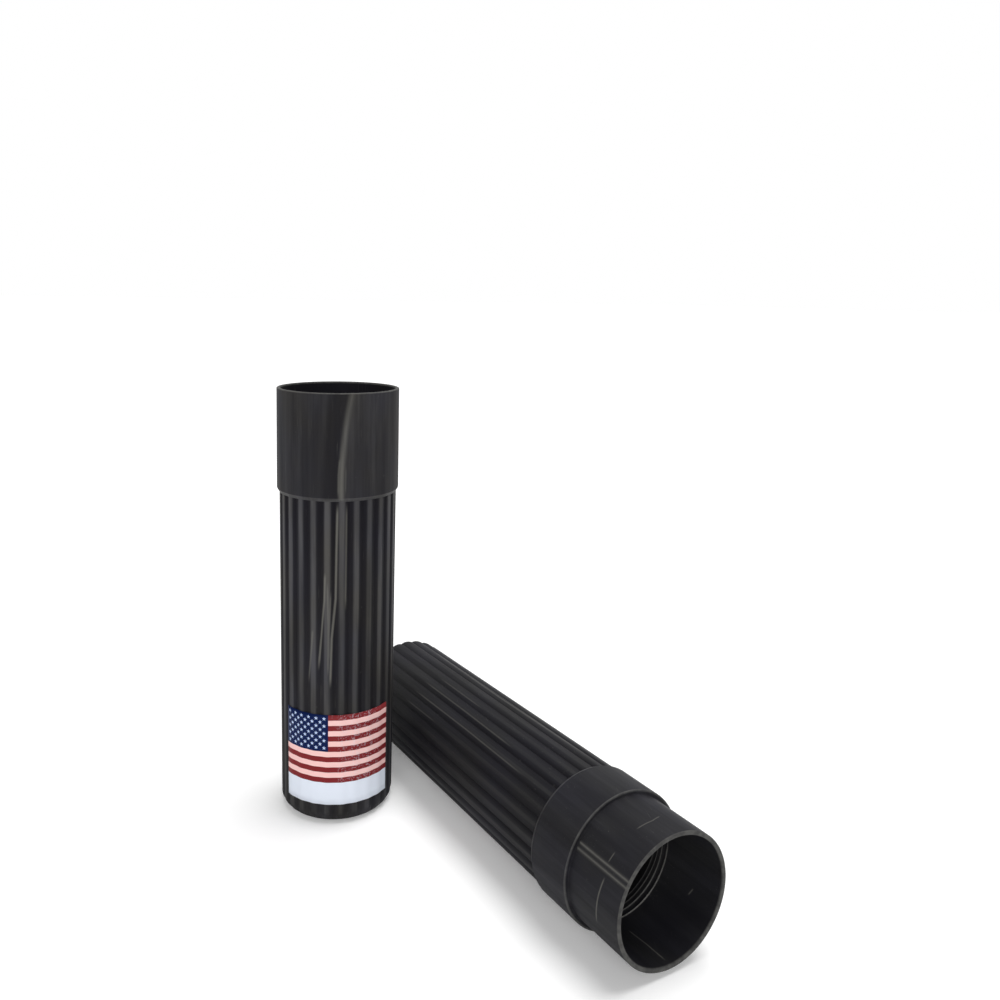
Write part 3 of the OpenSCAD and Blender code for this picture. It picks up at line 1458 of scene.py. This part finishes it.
@dataclass
class Studio:
    """A plain pale floor, soft light and the photograph's viewpoint.

    Attributes:
        camera: the camera.
        lamps: the soft lamps.
        ambient: brightness of the surroundings for matt surfaces, where 1 is white.
        floor_side: side of the floor, in metres.
        floor_colour: colour of the floor.
        floor_roughness: its roughness.
        floor_lift: brightness added to the floor where it is looked at.
    """

    camera: Camera
    lamps: tuple[Lamp, ...]
    ambient: float = 0.29
    floor_side: float = 30.0
    floor_colour: Colour = (0.92, 0.92, 0.92, 1.0)
    floor_roughness: float = 0.9
    floor_lift: float = 0.16

    def build(self) -> None:
        """Sets up the whole studio."""
        self.camera.build()
        for lamp in self.lamps:
            lamp.build()
        self.surroundings()
        self.floor()
        bpy.context.scene.view_settings.view_transform = "Standard"

    def seen(self, bench: Bench) -> Value:
        """Tells the rays that see a surface from those that only light it.

        Args:
            bench: the bench of the material or of the world.

        Returns:
            1 for rays from the camera and for reflected or refracted ones, and 0 for the rest.
        """
        rays = bench.values("ShaderNodeLightPath")
        mirrored = bench.maths("MAXIMUM", rays["Is Glossy Ray"], rays["Is Transmission Ray"])
        return bench.maths("MAXIMUM", rays["Is Camera Ray"], mirrored)

    def surroundings(self) -> None:
        """Makes the world: white where it is seen, and soft grey light elsewhere."""
        world = bpy.data.worlds.new("surroundings")
        world.use_nodes = True
        world.node_tree.nodes.clear()
        bench = Bench(world.node_tree)
        strength = self.seen(bench).between(self.ambient, 1.0)
        light = bench.value("ShaderNodeBackground", 0, {"Color": WHITE, "Strength": strength})
        bench.node("ShaderNodeOutputWorld", {"Surface": light})
        bpy.context.scene.world = world

    def floor(self) -> None:
        """Lays the floor, which is not part of the object."""
        bench = MaterialBench("pale_floor")
        glow = {"Emission Color": WHITE, "Emission Strength": self.seen(bench) * self.floor_lift}
        bm = bmesh.new()
        bmesh.ops.create_grid(bm, x_segments=1, y_segments=1, size=self.floor_side / 2)
        ground = mesh_object("floor", bm)
        ground.data.materials.append(bench.finished(self.floor_colour, self.floor_roughness, 0.0, glow))


def mount_named(record: dict[str, Any], name: str) -> dict[str, Any]:
    """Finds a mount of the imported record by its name."""
    return next(mount for mount in record["mounts"] if mount["name"] == name)


def laid_down(neck: dict[str, Any], reach: float) -> Matrix:
    """Works out how the cap lies from the mount on its neck.

    Args:
        neck: the mount, whose axis points out of the mouth.
        reach: height of the mount's point above the cap's closed end.

    Returns:
        What takes the cap from upright on the origin to its place.
    """
    along = Vector(neck["axis"]).normalized()
    sideways = Vector((1.0, 0.0, 0.0))
    turn = Matrix((sideways, along.cross(sideways), along)).transposed().to_4x4()
    return Matrix.Translation(Vector(neck["pos_m"]) - along * reach * MM) @ turn


# The wear that the photograph shows on the lower half
LOWER_PLASTIC = BlackPlastic(
    marks_and_highlights=(
        Mark(((-112.9, 79.5), (-112.9, 84.5), (-111.6, 88.5)), 0.6, 0.25),
        Mark(((-106.6, 79.5), (-106.3, 87.0)), 0.5, 0.15),
        # Carries the pale front streak on down the ribs
        Mark(((-113.6, 78.4), (-114.6, 66.0), (-115.2, 55.5), (-118.9, 46.0), (-120.3, 33.4)), 0.75, 0.65),
        Mark(((-105.1, 78.4), (-105.4, 66.0), (-105.8, 52.0)), 0.6, 0.4),
        Mark(((-125.3, 62.0), (-126.0, 55.0), (-127.8, 50.3), (-132.2, 37.6)), 0.65, 0.6),
        Mark(((-123.1, 60.0), (-122.1, 49.2), (-122.4, 36.0)), 0.6, 0.4),
        Mark(((-119.6, 58.0), (-121.5, 47.0), (-121.3, 40.0)), 0.55, 0.35),
        Mark(((-137.6, 48.0), (-138.6, 44.5), (-142.8, 34.2)), 0.7, 0.35),
    ),
    front_streak=FrontStreak(low=(-110.4, 80.6), top=(-101.7, 102.3)),
)

# The wear that it shows on the cap, and painted highlights along some rib crests and on the rings inside the
# mouth
CAP_PLASTIC = BlackPlastic(
    deep=(0.0052, 0.005, 0.0062, 1.0),
    worn=(0.036, 0.036, 0.037, 1.0),
    warm=(1.0, 1.0, 0.98, 1.0),
    streak_turn=(0.0, 0.35, 0.0),
    marks_and_highlights=(
        # Painted highlights along five rib crests
        Mark(((119.3, 24.0), (119.0, 45.0), (119.6, 67.0)), 0.45, 0.24),
        Mark(((133.3, 23.0), (132.4, 50.0), (133.1, 75.0)), 0.45, 0.25),
        Mark(((74.0, 8.0), (76.6, 45.0), (73.5, 82.5)), 0.55, 0.3),
        Mark(((105.6, 26.0), (105.6, 50.0)), 0.45, 0.2),
        Mark(((146.6, 23.0), (145.6, 40.0)), 0.45, 0.17),
        Mark(((154.2, 103.6), (171.5, 103.2), (195.5, 102.8)), 0.45, 0.5),
        Mark(((134.4, 103.1), (145.2, 102.9)), 0.35, 0.38),
        Mark(((84.1, 103.0), (94.5, 103.5), (111.4, 103.2)), 0.35, 0.35),
        Mark(((146.2, 94.9), (146.2, 95.6), (146.2, 113.0)), 1.1, 0.18),
        Mark(((150.9, 94.9), (150.9, 95.6), (150.9, 113.0)), 1.1, 0.18),
        Mark(((-93.2, 97.6), (-91.1, 102.5), (-90.5, 107.9)), 0.45, 0.4, inside=True),
        Mark(((-31.5, 101.9), (-23.0, 102.6)), 0.4, 0.4, inside=True),
    ),
    # Painted highlights on the rings inside the mouth
    painted_glints=(
        Mark(((-95.0, 94.3), (-60.0, 94.3), (10.0, 94.1)), 0.45, 0.8, inside=True),
        Mark(((-90.0, 93.1), (-45.0, 93.1), (0.0, 92.9)), 0.35, 0.4, inside=True),
        Mark(((-80.0, 92.1), (-45.0, 92.1), (0.0, 92.0)), 0.35, 0.25, inside=True),
        Mark(((-70.0, 91.1), (-45.0, 91.1), (0.0, 91.1)), 0.35, 0.15, inside=True),
    ),
)


def main() -> None:
    """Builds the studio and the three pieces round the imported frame."""
    logging.basicConfig(level=logging.INFO, format="%(name)s: %(message)s")
    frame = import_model()
    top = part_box("base_tube")[1]
    socket, neck = (mount_named(frame["record"], name) for name in ("base_socket", "cap_neck"))

    Studio(
        Camera(),
        (
            Lamp("key", azimuth=10.0, elevation=76.0, spread=44.0, strength=0.78),
            Lamp("fill", azimuth=-124.0, elevation=24.0, spread=45.0, strength=0.46),
        ),
    ).build()
    kit = Kit()

    lower = LowerHalf(
        collar_radius=top.x / MM,
        height=top.z / MM,
        socket_radius=socket["dims"]["r_mm"],
    )
    lower.build(LOWER_PLASTIC, kit)
    cap = CapHalf(collar_radius=top.x / MM, neck_radius=neck["dims"]["r_mm"])
    cap.placement = laid_down(neck, (cap.collar_top + cap.height - cap.lip) / 2)
    cap.build(CAP_PLASTIC, kit)
    PrintedLabel(wearer=lower).build(FlagPrint(), kit)


if __name__ == "__main__":
    main()
